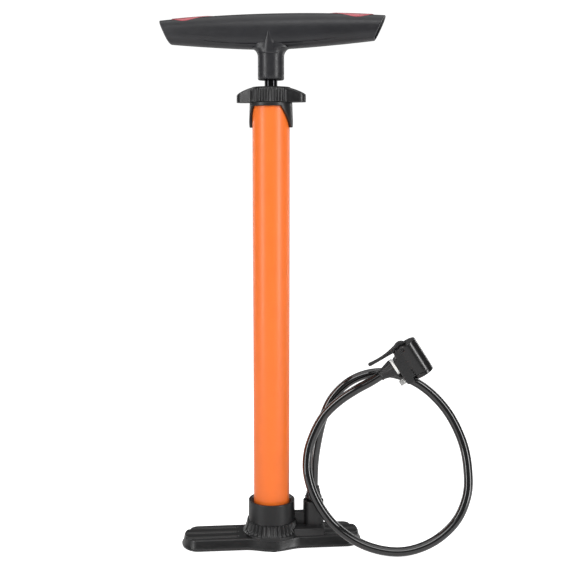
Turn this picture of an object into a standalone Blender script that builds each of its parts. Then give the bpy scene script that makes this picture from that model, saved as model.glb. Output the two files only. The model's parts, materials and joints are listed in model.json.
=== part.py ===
"""Floor bike pump, as an assembly of separate sub-parts.

Metres, +Z up. The origin is on the barrel's axis, at the height of the surface that the pump stands on.
The foot bar runs along X and the front is -Y. Moving pieces hang from empties on their joints' axes:
the piston slides up the barrel, the rod and handle also turn in it, the head's lever swings about its pin,
its plunger slides to the mouth, and the check valve's disc drops off its seat.
"""

import math

import bmesh
import bpy
import numpy as np
from mathutils import Matrix, Vector

GAP = 0.0003

# Foot
FOOT_BOTTOM = 0.0007
HUB_BOTTOM = 0.0004
BAR_HALF_LENGTH = 0.0962
BAR_HALF_WIDTH = 0.0252
BAR_END_RUN = 0.018
BAR_TOP = 0.0118
GROOVE_INNER_X = 0.034
GROOVE_OUTER_X = 0.1
GROOVE_DEPTH = 0.0014
GROOVE_WIDTH = 0.0017
GROOVE_SPACING = 0.013
HUB_R = 0.0325
HUB_TOP = 0.014
SKIRT_TOP = 0.026
COLLAR_R = 0.0248
COLLAR_TOP = 0.0475
SOCKET_FLOOR = 0.024
TOWER_X = 0.045
TOWER_R = 0.011
TOWER_TOP = 0.045
HOUSING_TOP = 0.0195
HOUSING_HALF_WIDTH = 0.0195
HOUSING_END_X = 0.0555
WEB_TOP = 0.0328
PASSAGE_Z = 0.012
PAD_R = 0.0055
PAD_HEIGHT = 0.0022
PAD_PLACES = [(-0.076, -0.012), (-0.076, 0.012), (0.076, -0.012), (0.076, 0.012), (0, -0.026), (0, 0.026)]

# Barrel, cap and rod
BARREL_R = 0.019
BARREL_BORE_R = 0.0178
BARREL_TOP = 0.463
TOP_COLLAR_R = 0.0217
TOP_COLLAR_Z = 0.4617
TOP_COLLAR_TAB_Z = 0.4405
CAP_Z = 0.4657
CAP_R = 0.0215
CAP_TOP = 0.481
CAP_YAW = math.radians(-20.4)
WING_HALF_SPAN = 0.036
ROD_R = 0.0065
ROD_SHOULDER_Z = 0.515
STUD_R = 0.0039

# Handle
HANDLE_YAW = math.radians(-15.4)
STEM_R = 0.0133
STEM_BOTTOM = 0.488
HANDLE_TOP_HALF = 0.1174
HANDLE_BOTTOM_HALF = 0.101
HANDLE_TOP = 0.5538
HANDLE_BOTTOM = 0.5182
HANDLE_TIP_DROP = 0.0044
HANDLE_TIP_RISE = 0.0069
HANDLE_HALF_DEPTH = 0.0145
HANDLE_TIP_HALF_DEPTH = 0.012
HANDLE_ROUNDNESS = 0.8
HANDLE_WALL = 0.0022
PAD_FROM = 0.058
PAD_TO = 0.105

# Hose and head
HOSE_R = 0.00485
HOSE_EXIT_Z = 0.0608
HOSE_POINTS = 40
# The hose's route, from the ferrule to the boot on the head.
HOSE_ROUTE = [
    (TOWER_X, 0.0, HOSE_EXIT_Z),
    (0.046, 0.0005, 0.087),
    (0.0495, 0.002, 0.1095),
    (0.055, 0.0025, 0.1325),
    (0.065, 0.0015, 0.1555),
    (0.083, 0.0, 0.1735),
    (0.106, -0.0015, 0.1825),
    (0.13, -0.004, 0.182),
    (0.1535, -0.0075, 0.173),
    (0.173, -0.0125, 0.158),
    (0.1885, -0.021, 0.138),
    (0.1995, -0.0305, 0.112),
    (0.203, -0.0395, 0.0855),
    (0.2005, -0.047, 0.06),
    (0.187, -0.0535, 0.0345),
    (0.161, -0.057, 0.0145),
    (0.1285, -0.056, 0.0056),
    (0.094, -0.0485, 0.0105),
    (0.0645, -0.037, 0.0275),
    (0.0455, -0.0285, 0.0525),
    (0.0365, -0.022, 0.0785),
    (0.037, -0.016, 0.101),
    (0.044, -0.013, 0.122),
    (0.055, -0.011, 0.1405),
    (0.0705, -0.0125, 0.156),
    (0.0878, -0.0158, 0.1685),
]
HEAD_CORNER = Vector((0.1472, -0.022, 0.2249))
HEAD_DOWN = Vector((0.5386, -0.0509, -0.841)).normalized()
HEAD_OUT = Vector((0.8373, -0.0792, 0.541)).normalized()
HEAD_LENGTH = 0.034
BLOCK_LENGTH = 0.0386
HEAD_HALF_DEPTH = 0.0085
BORE_AXIS = -0.0115
HEAD_CYLINDER_R = 0.0115
HEAD_BORE_R = 0.008
BARB_X = 0.016
PLUG_X = 0.0345
BOOT_FAR = -0.0517
BOOT_NEAR = -0.0353
COLLAR_NEAR = -0.0323
LEVER_X = 0.0033
LEVER_Y = -0.0175
LEVER_HUB_R = 0.0077
LEVER_TIP_Y = -0.0559
LEVER_HALF_WIDTH = 0.0045
MOUTH_CAP_END = 0.0384


# Tools

def clear_scene():
    for thing in list(bpy.data.objects):
        bpy.data.objects.remove(thing)


def material(name, color, roughness, metallic=0.0):
    made = bpy.data.materials.new(name)
    made.use_nodes = True
    shader = made.node_tree.nodes["Principled BSDF"]
    shader.inputs["Base Color"].default_value = (*color, 1)
    shader.inputs["Roughness"].default_value = roughness
    shader.inputs["Metallic"].default_value = metallic
    return made


def add_object(name, bm, look=None, parent=None, place=None):
    """An object from a bmesh, placed under its parent."""
    mesh = bpy.data.meshes.new(name)
    bm.to_mesh(mesh)
    bm.free()
    mesh.shade_smooth()
    mesh.set_sharp_from_angle(angle=math.radians(35))
    made = bpy.data.objects.new(name, mesh)
    bpy.context.collection.objects.link(made)
    if look:
        mesh.materials.append(look)
    if parent:
        made.parent = parent
    if place:
        made.matrix_local = place
    return made


def add_empty(name, place, parent=None):
    made = bpy.data.objects.new(name, None)
    bpy.context.collection.objects.link(made)
    made.parent = parent
    made.matrix_local = place
    return made


def boolean(target, other, operation="DIFFERENCE"):
    modifier = target.modifiers.new(other.name, "BOOLEAN")
    modifier.operation = operation
    modifier.object = other
    other.hide_render = True
    other.display_type = "WIRE"


def turned(profile, steps=24):
    """The (radius, height) profile spun about Z, which closes on itself unless it starts and ends on the axis."""
    bm = bmesh.new()
    points = [bm.verts.new((radius, 0, height)) for radius, height in profile]
    following = points[1:]
    if profile[0][0] > 0:
        following = following + points[:1]
    edges = [bm.edges.new(pair) for pair in zip(points, following)]
    bmesh.ops.spin(
        bm, geom=points + edges, cent=(0, 0, 0), axis=(0, 0, 1), angle=math.tau, steps=steps, use_merge=True
    )
    bmesh.ops.remove_doubles(bm, verts=bm.verts, dist=1e-6)
    bmesh.ops.recalc_face_normals(bm, faces=bm.faces)
    return bm


def ring(inner, outer, low, high, steps=24):
    return turned([(inner, low), (outer, low), (outer, high), (inner, high)], steps)


def disc(radius, low, high, steps=24):
    return turned([(0, low), (radius, low), (radius, high), (0, high)], steps)


def loft(rings):
    """A closed body through rings of points, each ring with the same number of points."""
    bm = bmesh.new()
    rows = [[bm.verts.new(point) for point in points] for points in rings]
    for low, high in zip(rows, rows[1:]):
        for i in range(len(low)):
            j = (i + 1) % len(low)
            bm.faces.new((low[i], low[j], high[j], high[i]))
    bm.faces.new(rows[0])
    bm.faces.new(rows[-1])
    bmesh.ops.recalc_face_normals(bm, faces=bm.faces)
    return bm


def box(low, high):
    rings = []
    for x in (low[0], high[0]):
        rings.append([(x, low[1], low[2]), (x, high[1], low[2]), (x, high[1], high[2]), (x, low[1], high[2])])
    return loft(rings)


def hexagon(across, hole, low, high):
    """A nut: a six-sided prism with a round hole."""
    outer = turned([(hole, low), (across, low), (across, high), (hole, high)], 24)
    for vert in outer.verts:
        radius = vert.co.xy.length
        if radius > hole * 1.1:
            turn = (math.atan2(vert.co.y, vert.co.x) + math.pi / 6) % (math.pi / 3) - math.pi / 6
            vert.co.xy *= math.cos(math.pi / 6) / math.cos(turn)
    return outer


def add_to(bm, other):
    mesh = bpy.data.meshes.new("joined")
    other.to_mesh(mesh)
    other.free()
    bm.from_mesh(mesh)
    bpy.data.meshes.remove(mesh)


def about_local_y(x, z=0.0):
    """Places a turned shape with its axis along the head's Y, through (x, z)."""
    return Matrix.Translation((x, 0, z)) @ Matrix.Rotation(math.radians(-90), 4, "X")


def about_local_x(y):
    """Places a turned shape with its axis along the head's X, through y."""
    return Matrix.Translation((0, y, 0)) @ Matrix.Rotation(math.radians(90), 4, "Y")


# Foot

def bar_outline(inset, height):
    """The bar's plan outline: straight sides and half-elliptical ends, which lean in half as much."""
    points = []
    straight = BAR_HALF_LENGTH - BAR_END_RUN
    for side in (1, -1):
        for step in range(11):
            angle = side * math.radians(-90 + 18 * step)
            x = straight + (BAR_END_RUN - inset / 2) * math.cos(angle)
            points.append((side * x, (BAR_HALF_WIDTH - inset) * math.sin(angle) * side, height))
    return sorted(points, key=lambda point: math.atan2(point[1], point[0]))


def foot_bar():
    levels = [(0.0006, FOOT_BOTTOM), (0, 0.0012), (0, 0.002), (0.0014, 0.0025), (0.0038, 0.0103)]
    levels += [(0.0046, 0.0113), (0.006, BAR_TOP)]
    return loft([bar_outline(inset, height) for inset, height in levels])


def foot_hub():
    return turned([
        (0, HUB_BOTTOM),
        (HUB_R - 0.001, HUB_BOTTOM),
        (HUB_R, 0.0016),
        (HUB_R, HUB_TOP - 0.0012),
        (HUB_R - 0.0012, HUB_TOP),
        (0.0302, HUB_TOP + 0.0002),
        (0.0262, SKIRT_TOP),
        (COLLAR_R, SKIRT_TOP + 0.0006),
        (COLLAR_R, COLLAR_TOP - 0.0008),
        (COLLAR_R - 0.0008, COLLAR_TOP),
        (0.0226, COLLAR_TOP),
        (0.0206, COLLAR_TOP - 0.002),
        (0.0206, 0.0445),
        (BARREL_R + GAP, 0.0436),
        (BARREL_R + GAP, SOCKET_FLOOR),
        (0, SOCKET_FLOOR),
    ], 40)


def foot_tower():
    return turned([
        (0, 0.005),
        (TOWER_R, 0.005),
        (TOWER_R, TOWER_TOP - 0.0008),
        (TOWER_R - 0.0008, TOWER_TOP),
        (0, TOWER_TOP),
    ])


def foot_housing():
    """The low block under the tower, which holds the valve passage."""
    rings = []
    for height, inset in ((0.007, 0), (HOUSING_TOP - 0.0012, 0), (HOUSING_TOP, 0.0012)):
        end, half = HOUSING_END_X - inset, HOUSING_HALF_WIDTH - inset
        rings.append([(0.02, -half, height), (end, -half, height), (end, half, height), (0.02, half, height)])
    return loft(rings)


def groove_cutter():
    """Three grooves on each side of the bar's top, fanning out to its ends."""
    cutter = bmesh.new()
    for side in (-1, 1):
        for lane in (-1, 0, 1):
            rings = []
            for x, spread in ((GROOVE_INNER_X, 1.0), (GROOVE_OUTER_X, 1.04)):
                y = lane * GROOVE_SPACING * spread
                half = GROOVE_WIDTH / 2
                top = BAR_TOP + 0.004
                low = BAR_TOP - GROOVE_DEPTH
                corners = [(y - half, low), (y + half, low), (y + 3 * half, top), (y - 3 * half, top)]
                rings.append([(side * x, across, height) for across, height in corners])
            add_to(cutter, loft(rings))
    bmesh.ops.recalc_face_normals(cutter, faces=cutter.faces)
    return cutter


def pocket_cutter():
    cutter = bmesh.new()
    for x, y in PAD_PLACES:
        pocket = disc(PAD_R + GAP, -0.002, PAD_HEIGHT + GAP, 16)
        bmesh.ops.translate(pocket, verts=pocket.verts, vec=(x, y, 0))
        add_to(cutter, pocket)
    bmesh.ops.recalc_face_normals(cutter, faces=cutter.faces)
    return cutter


def make_foot(plastic, rubber, steel):
    foot = add_object("base_foot", foot_hub(), plastic)
    tower_place = Matrix.Translation((TOWER_X, 0, 0))
    bar = add_object("bar_shape", foot_bar())
    boolean(bar, add_object("groove_cut", groove_cutter()))
    joined = [
        bar,
        add_object("tower_shape", foot_tower(), place=tower_place),
        add_object("web_shape", box((0.0215, -0.004, 0.005), (TOWER_X, 0.004, WEB_TOP))),
        add_object("housing_shape", foot_housing()),
    ]
    for shape in joined:
        boolean(foot, shape, "UNION")
    passage = Matrix.Translation((0, 0, PASSAGE_Z)) @ Matrix.Rotation(math.radians(90), 4, "Y")
    screw_place = Matrix.Translation((0, 0, 0.033)) @ Matrix.Rotation(math.radians(90), 4, "X")
    cuts = [
        add_object("pocket_cut", pocket_cutter()),
        add_object("chamber_cut", disc(0.0052, 0.009, 0.026)),
        add_object("passage_cut", disc(0.0022, 0.001, TOWER_X + 0.0011, 16), place=passage),
        add_object("riser_cut", disc(0.0023, 0.0111, 0.031, 16), place=tower_place),
        add_object("fitting_cut", disc(0.0053, 0.0297, 0.043, 24), place=tower_place),
        add_object("mouth_cut", disc(0.0078, 0.041, TOWER_TOP + 0.002), place=tower_place),
        add_object("screw_cut", disc(0.0023, 0.0202, 0.026, 16), place=screw_place),
    ]
    for shape in cuts:
        boolean(foot, shape)
    add_object("collar_screw", screw_shape(), steel, place=screw_place)
    for number, (x, y) in enumerate(PAD_PLACES, start=1):
        pad = disc(PAD_R, 0, PAD_HEIGHT, 16)
        add_object(f"foot_pad_{number}", pad, rubber, place=Matrix.Translation((x, y, 0)))


def screw_shape():
    """A set screw with a socket in its head."""
    head = [(0, 0.0205), (0.002, 0.0205), (0.002, 0.0234)]
    socket = [(0.001, 0.0234), (0.001, 0.0222), (0, 0.0222)]
    return turned(head + socket, 16)


# Check valve and hose outlet

def spring_shape(radius, wire, low, high, turns):
    """A closed helix of round wire."""
    per_turn = 10
    rings = []
    for step in range(turns * per_turn + 1):
        angle = math.tau * step / per_turn
        centre = Vector((math.cos(angle), math.sin(angle), 0)) * radius
        centre.z = low + wire + (high - low - 2 * wire) * step / (turns * per_turn)
        out = Vector((math.cos(angle), math.sin(angle), 0))
        rings.append([
            centre + wire * (math.cos(side) * out + math.sin(side) * Vector((0, 0, 1)))
            for side in np.linspace(0, math.tau, 5, endpoint=False)
        ])
    return loft(rings)


def make_check_valve(brass, rubber, steel):
    add_object("valve_seat", ring(0.0018, 0.0049, 0.0205, SOCKET_FLOOR - GAP, 24), brass)
    valve = add_empty("valve_slide", Matrix.Translation((0, 0, 0.0202)))
    add_object("valve_disc", disc(0.0036, -0.002, 0, 24), rubber, valve)
    add_object("valve_spring", spring_shape(0.0028, 0.00035, 0.0094, 0.0179, 5), steel)


def make_outlet(brass, plastic):
    place = Matrix.Translation((TOWER_X, 0, 0))
    fitting = [(0.0015, 0.03), (0.005, 0.03), (0.005, 0.0407), (0.0031, 0.0407), (0.0031, 0.058)]
    fitting.append((0.0015, 0.058))
    add_object("outlet_fitting", turned(fitting, 24), brass, place=place)
    foot = TOWER_TOP + 0.004
    ribs = [(0.0034, 0.0413), (0.007, 0.0413), (0.007, foot - 0.0027), (0.009, foot - 0.0016), (0.009, foot)]
    count = 4
    for rib in range(count):
        step = (HOSE_EXIT_Z - GAP - foot) / count
        low = foot + step * rib
        radius = 0.0088 - 0.0023 * (rib + 1) / count
        ribs += [(radius, low + 0.15 * step), (radius, low + 0.55 * step)]
        ribs += [(radius - 0.0006, low + 0.7 * step), (radius - 0.0006, low + step)]
    ribs.append((0.0034, HOSE_EXIT_Z - GAP))
    add_object("hose_ferrule", turned(ribs, 20), plastic, place=place)


# Barrel and cap

def make_barrel(paint, rubber):
    seal_top = SOCKET_FLOOR + 0.002
    add_object("barrel", ring(BARREL_BORE_R, BARREL_R, seal_top + GAP, BARREL_TOP, 48), paint)
    add_object("barrel_seal", ring(0.016, BARREL_R - GAP, SOCKET_FLOOR + GAP, seal_top, 32), rubber)


def top_collar_shape():
    """A ring whose lower edge drops into a tapering tab on each side."""
    inner = BARREL_R + 2 * GAP
    corners = [side + turn for side in (0, 180) for turn in (-46, -25, -4, 4, 25, 46)]
    turns = sorted({*range(0, 360, 10), *corners})
    rings = []
    for degrees in turns:
        off = abs((degrees + 90) % 180 - 90)
        drop = min(1.0, max(0.0, (46 - off) / 42))
        low = TOP_COLLAR_Z - drop * (TOP_COLLAR_Z - TOP_COLLAR_TAB_Z)
        foot_r = TOP_COLLAR_R + 0.0009 * drop
        angle = math.radians(degrees)
        out = Vector((math.cos(angle), math.sin(angle), 0))
        section = [(inner, low), (foot_r, low), (TOP_COLLAR_R, CAP_Z - GAP), (inner, CAP_Z - GAP)]
        rings.append([out * radius + Vector((0, 0, height)) for radius, height in section])
    bm = bmesh.new()
    rows = [[bm.verts.new(point) for point in points] for points in rings]
    for row, following in zip(rows, rows[1:] + rows[:1]):
        for i in range(4):
            j = (i + 1) % 4
            bm.faces.new((row[i], row[j], following[j], following[i]))
    bmesh.ops.recalc_face_normals(bm, faces=bm.faces)
    return bm


def wing_shape():
    """The two wings as one bar, with its top arched down to the tips and its upper edges rounded."""
    rings = []
    for x in np.linspace(-WING_HALF_SPAN, WING_HALF_SPAN, 17):
        reach = abs(x) / WING_HALF_SPAN
        tip = math.sqrt(max(0.0, 1 - max(0.0, (abs(x) + 0.0058 - WING_HALF_SPAN) / 0.0062) ** 2))
        half = (0.0115 - 0.005 * reach) * max(tip, 0.3)
        top = CAP_TOP - 0.0002 - 0.0073 * max(0.0, (reach - 0.45) / 0.55) ** 1.5
        edge = 0.0018
        rings.append([
            (x, -half, CAP_Z), (x, half, CAP_Z), (x, half, top - edge),
            (x, half * 0.7, top), (x, -half * 0.7, top), (x, -half, top - edge),
        ])
    return loft(rings)


def make_cap(plastic, rubber, bronze):
    yaw = Matrix.Rotation(CAP_YAW, 4, "Z")
    add_object("top_collar", top_collar_shape(), plastic, place=yaw)
    outer = [(0, CAP_Z), (CAP_R, CAP_Z), (CAP_R, 0.4765), (0.0208, 0.4795), (0.0195, CAP_TOP), (0, CAP_TOP)]
    cap = add_object("wing_cap", turned(outer, 36), plastic, place=yaw)
    hollow = [
        (0, CAP_Z - 0.002), (0.0173, CAP_Z - 0.002), (0.0173, 0.476), (0.01, 0.476), (0.01, 0.479),
        (0.007, 0.479), (0.007, CAP_TOP + 0.002), (0, CAP_TOP + 0.002),
    ]
    boolean(cap, add_object("wings_shape", wing_shape(), place=yaw), "UNION")
    boolean(cap, add_object("cap_hollow", turned(hollow, 28), place=yaw))
    bush = [(0.0068, 0.458), (0.0165, 0.458), (0.0169, 0.459), (0.0169, 0.4757), (0.0068, 0.4757)]
    add_object("rod_bush", turned(bush, 28), bronze)
    add_object("rod_wiper", ring(0.0068, 0.0097, 0.4761, 0.4787, 28), rubber)


# Piston and rod

def make_piston(plastic, rubber, steel):
    slide = add_empty("pump_slide", Matrix.Identity(4))
    add_object("piston_nut", hexagon(0.0068, STUD_R + GAP, 0.027, 0.031), steel, slide)
    add_object("piston_washer", ring(STUD_R + GAP, 0.012, 0.0313, 0.0328, 28), steel, slide)
    head = [
        (STUD_R + GAP, 0.0331), (0.017, 0.0331), (0.0174, 0.0335), (0.0174, 0.0355), (0.0146, 0.0355),
        (0.0146, 0.0392), (0.0174, 0.0392), (0.0174, 0.0412), (0.017, 0.0416), (STUD_R + GAP, 0.0416),
    ]
    add_object("piston_head", turned(head, 28), plastic, slide)
    add_object("piston_ring", ring(0.0149, 0.0176, 0.0358, 0.0389, 28), rubber, slide)
    turn = add_empty("handle_turn", Matrix.Rotation(HANDLE_YAW, 4, "Z"), slide)
    rod = [
        (0, 0.028), (STUD_R, 0.028), (STUD_R, 0.0419), (ROD_R, 0.0419), (ROD_R, ROD_SHOULDER_Z),
        (STUD_R, ROD_SHOULDER_Z), (STUD_R, 0.5226), (0, 0.5226),
    ]
    add_object("rod", turned(rod, 24), steel, turn)
    return turn


# Handle

def handle_section(share, angle, shrink=0.0):
    """A point on the handle's skin: share runs from tip to tip, -1 to 1, and angle goes round the section."""
    top = HANDLE_TOP - HANDLE_TIP_DROP * share**2 - shrink
    low = HANDLE_BOTTOM + HANDLE_TIP_RISE * abs(share) ** 1.5 + shrink
    depth = HANDLE_HALF_DEPTH + (HANDLE_TIP_HALF_DEPTH - HANDLE_HALF_DEPTH) * share**2 - shrink
    across = math.copysign(abs(math.cos(angle)) ** HANDLE_ROUNDNESS, math.cos(angle))
    up = math.copysign(abs(math.sin(angle)) ** HANDLE_ROUNDNESS, math.sin(angle))
    height = (top + low) / 2 + up * (top - low) / 2
    rise = (height - HANDLE_BOTTOM) / (HANDLE_TOP - HANDLE_BOTTOM)
    length = HANDLE_BOTTOM_HALF + (HANDLE_TOP_HALF - HANDLE_BOTTOM_HALF) * rise
    return Vector((share * length, across * depth, height))


def handle_rings(shares, shrink=0.0, count=20):
    angles = np.linspace(0, math.tau, count, endpoint=False)
    return [[handle_section(share, angle, shrink) for angle in angles] for share in shares]


def pad_shape(side):
    """A leaf-shaped inlay that follows the handle's top, a little proud of it."""
    rings = []
    for step in range(11):
        along = PAD_FROM + (PAD_TO - PAD_FROM) * step / 10
        share = side * along / HANDLE_TOP_HALF
        spread = math.radians(6 + 48 * math.sin(math.pi * (step / 10) ** 1.8) ** 0.8)
        angles = [math.pi / 2 + spread * turn for turn in np.linspace(-1, 1, 9)]
        outer = [handle_section(share, angle, -0.0013) for angle in angles]
        inner = [handle_section(share, angle, -1.5 * GAP) for angle in reversed(angles)]
        rings.append(outer + inner)
    return loft(rings)


def make_handle(turn, plastic, red, steel):
    handle = add_object("handle_body", loft(handle_rings(np.linspace(-1, 1, 13))), plastic, turn)
    stem = [
        (0, STEM_BOTTOM), (0.0128, STEM_BOTTOM), (STEM_R, STEM_BOTTOM + 0.0005), (STEM_R, 0.516),
        (0.0125, 0.528), (0, 0.54),
    ]
    bore = [
        (0, STEM_BOTTOM - 0.002), (0.0068, STEM_BOTTOM - 0.002), (0.0068, ROD_SHOULDER_Z + GAP),
        (0.0043, ROD_SHOULDER_Z + GAP), (0.0043, 0.517), (0.0085, 0.517), (0.0085, 0.5235), (0, 0.5235),
    ]
    boolean(handle, add_object("stem_shape", turned(stem), parent=turn), "UNION")
    boolean(handle, add_object("stem_bore", turned(bore), parent=turn))
    for side, name in ((-1, "left"), (1, "right")):
        hollow = handle_rings([side * share for share in (0.88, 0.92, 0.96, 1.04)], HANDLE_WALL, 16)
        boolean(handle, add_object(f"hollow_{name}", loft(hollow), parent=turn))
        add_object(f"handle_pad_{name}", pad_shape(side), red, turn)
    add_object("handle_nut", hexagon(0.0078, STUD_R + GAP, 0.5174, 0.522), steel, turn)


# Hose

def through(points, count):
    """Even samples of one smooth Catmull-Rom curve through the points."""
    given = [Vector(point) for point in points]
    ends = [2 * given[0] - given[1], *given, 2 * given[-1] - given[-2]]
    fine = []
    for before, start, end, after in zip(ends, ends[1:], ends[2:], ends[3:]):
        for share in np.linspace(0, 1, 12, endpoint=False):
            fine.append(
                0.5 * (
                    2 * start
                    + (end - before) * share
                    + (2 * before - 5 * start + 4 * end - after) * share**2
                    + (3 * start - before - 3 * end + after) * share**3
                )
            )
    fine = np.array([*fine, given[-1]])
    lengths = np.concatenate([[0], np.cumsum(np.linalg.norm(np.diff(fine, axis=0), axis=1))])
    even = np.linspace(0, lengths[-1], count)
    return [Vector([np.interp(place, lengths, fine[:, axis]) for axis in range(3)]) for place in even]


def make_hose(rubber):
    route = [*HOSE_ROUTE, HEAD_PLACE @ Vector((BARB_X, BOOT_FAR - 0.012, 0))]
    route.append(HEAD_PLACE @ Vector((BARB_X, BOOT_FAR - 2 * GAP, 0)))
    curve = bpy.data.curves.new("hose", "CURVE")
    curve.dimensions = "3D"
    curve.bevel_depth = HOSE_R
    curve.bevel_resolution = 3
    curve.use_fill_caps = True
    spline = curve.splines.new("POLY")
    points = through(route, HOSE_POINTS)
    spline.points.add(len(points) - 1)
    for made, point in zip(spline.points, points):
        made.co = (*point, 1)
    curve.materials.append(rubber)
    hose = bpy.data.objects.new("hose", curve)
    bpy.context.collection.objects.link(hose)


# Pump head. Its own frame has X down the body to the mouth, Y out of the barbed side and Z to the front.

def head_place():
    front = HEAD_DOWN.cross(HEAD_OUT).normalized()
    out = front.cross(HEAD_DOWN)
    axes = Matrix((HEAD_DOWN, out, front)).transposed().to_4x4()
    return Matrix.Translation(HEAD_CORNER) @ axes


HEAD_PLACE = head_place()


def head_block():
    """The flat side of the body, which narrows over the lever slot and runs on beside the mouth."""
    outline = [
        (0.0, -0.013), (0.0, -0.0237), (0.002, -0.0272), (0.0078, -0.028), (0.0096, -0.032), (0.037, -0.032),
        (BLOCK_LENGTH, -0.0305), (BLOCK_LENGTH, -0.0236), (HEAD_LENGTH, -0.0236), (HEAD_LENGTH, -0.013),
    ]
    edge = 0.0015
    side = HEAD_HALF_DEPTH
    rings = []
    for z, inset in ((-side, edge), (edge - side, 0), (side - edge, 0), (side, edge)):
        rings.append([(max(x, inset), y + (inset if y < -0.025 else 0), z) for x, y in outline])
    return loft(rings)


def lever_arm():
    """The thumb piece: a bar that thins and widens towards its tip, with its upper edge bowed."""
    rings = []
    for y in np.linspace(LEVER_Y, LEVER_TIP_Y, 9):
        share = (y - LEVER_Y) / (LEVER_TIP_Y - LEVER_Y)
        half = LEVER_HALF_WIDTH + 0.0015 * max(0.0, share - 0.45)
        top = LEVER_X - 0.0079 + 0.0131 * share - 0.0101 * share**2
        low = LEVER_X - 0.0007 - 0.0017 * share
        if share == 1:
            half, top, low = half * 0.75, top + 0.0008, low - 0.0008
        edge = 0.001
        rings.append([
            (low, y, -half), (low, y, half), (top + edge, y, half),
            (top, y, half - edge), (top, y, edge - half), (top + edge, y, -half),
        ])
    return loft(rings)


def make_head_body(head, plastic):
    cylinder = [
        (0, 0.0), (HEAD_CYLINDER_R - 0.0015, 0.0), (HEAD_CYLINDER_R, 0.0015),
        (HEAD_CYLINDER_R, HEAD_LENGTH), (0, HEAD_LENGTH),
    ]
    body = add_object("head_body", turned(cylinder, 32), plastic, head, about_local_x(BORE_AXIS))
    boolean(body, add_object("block_shape", head_block(), parent=head), "UNION")
    slot_half = LEVER_HALF_WIDTH + GAP
    pivot = Matrix.Translation((LEVER_X, LEVER_Y, 0))
    cuts = [
        add_object("bore_cut", disc(HEAD_BORE_R, 0.0112, 0.05), parent=head, place=about_local_x(BORE_AXIS)),
        add_object("barb_cut", disc(0.0033, -0.04, -0.0165, 20), parent=head, place=about_local_y(BARB_X)),
        add_object("plug_cut", disc(0.0018, -0.04, -0.0254, 16), parent=head, place=about_local_y(PLUG_X)),
        add_object("slot_cut", box((-0.004, -0.04, -slot_half), (0.003, LEVER_Y, slot_half)), parent=head),
        add_object("hub_cut", disc(LEVER_HUB_R + 0.0005, -slot_half, slot_half), parent=head, place=pivot),
        add_object("pin_cut", disc(0.0018, -0.02, 0.02, 20), parent=head, place=pivot),
    ]
    for cut in cuts:
        boolean(body, cut)


def make_lever(head, plastic, steel):
    pivot = add_empty("lever_pivot", Matrix.Translation((LEVER_X, LEVER_Y, 0)), head)
    hub = [
        (0.0018, -LEVER_HALF_WIDTH), (LEVER_HUB_R, -LEVER_HALF_WIDTH),
        (LEVER_HUB_R, LEVER_HALF_WIDTH), (0.0018, LEVER_HALF_WIDTH),
    ]
    lever = add_object("head_lever", turned(hub, 28), plastic, pivot)
    arm = add_object("arm_shape", lever_arm(), parent=head)
    arm_hole = add_object("arm_hole", disc(0.0018, -0.02, 0.02, 20), parent=pivot)
    boolean(lever, arm, "UNION")
    boolean(lever, arm_hole)
    pin_place = Matrix.Translation((LEVER_X, LEVER_Y, 0))
    add_object("lever_pin", disc(0.0015, -0.0083, 0.0083, 20), steel, head, pin_place)


def make_head_fittings(head, plastic, white, rubber, brass, steel):
    beside = about_local_y(BARB_X)
    along = about_local_x(BORE_AXIS)
    add_object("head_barb", ring(0.0014, 0.003, BOOT_FAR + 0.0005, -0.02, 20), brass, head, beside)
    boot = [(0.0033, BOOT_FAR), (0.0054, BOOT_FAR), (0.0056, BOOT_FAR + 0.0012), (0.0053, BOOT_FAR + 0.0022)]
    boot += [(0.0085, BOOT_NEAR - 0.0025), (0.0092, BOOT_NEAR), (0.0033, BOOT_NEAR)]
    add_object("head_boot", turned(boot, 20), rubber, head, beside)
    add_object("head_collar", ring(0.0033, 0.0088, BOOT_NEAR + GAP, COLLAR_NEAR, 28), white, head, beside)
    plug = [(0, -0.0385), (0.0028, -0.0385), (0.003, -0.0381), (0.003, COLLAR_NEAR), (0.0015, COLLAR_NEAR)]
    plug += [(0.0015, -0.027), (0, -0.027)]
    add_object("head_plug", turned(plug, 20), steel, head, about_local_y(PLUG_X))
    plunger = add_empty("plunger_slide", along, head)
    add_object("head_plunger", ring(0.002, HEAD_BORE_R - GAP, 0.0125, 0.0215, 28), plastic, plunger)
    add_object("mouth_grommet", ring(0.0046, HEAD_BORE_R - GAP, 0.025, HEAD_LENGTH, 28), rubber, head, along)
    cap = [
        (0.0055, HEAD_LENGTH + GAP), (0.0112, HEAD_LENGTH + GAP), (0.0112, MOUTH_CAP_END - 0.0008),
        (0.0104, MOUTH_CAP_END), (0.0062, MOUTH_CAP_END), (0.0055, MOUTH_CAP_END - 0.0008),
    ]
    add_object("mouth_cap", turned(cap, 24), plastic, head, along)


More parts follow.
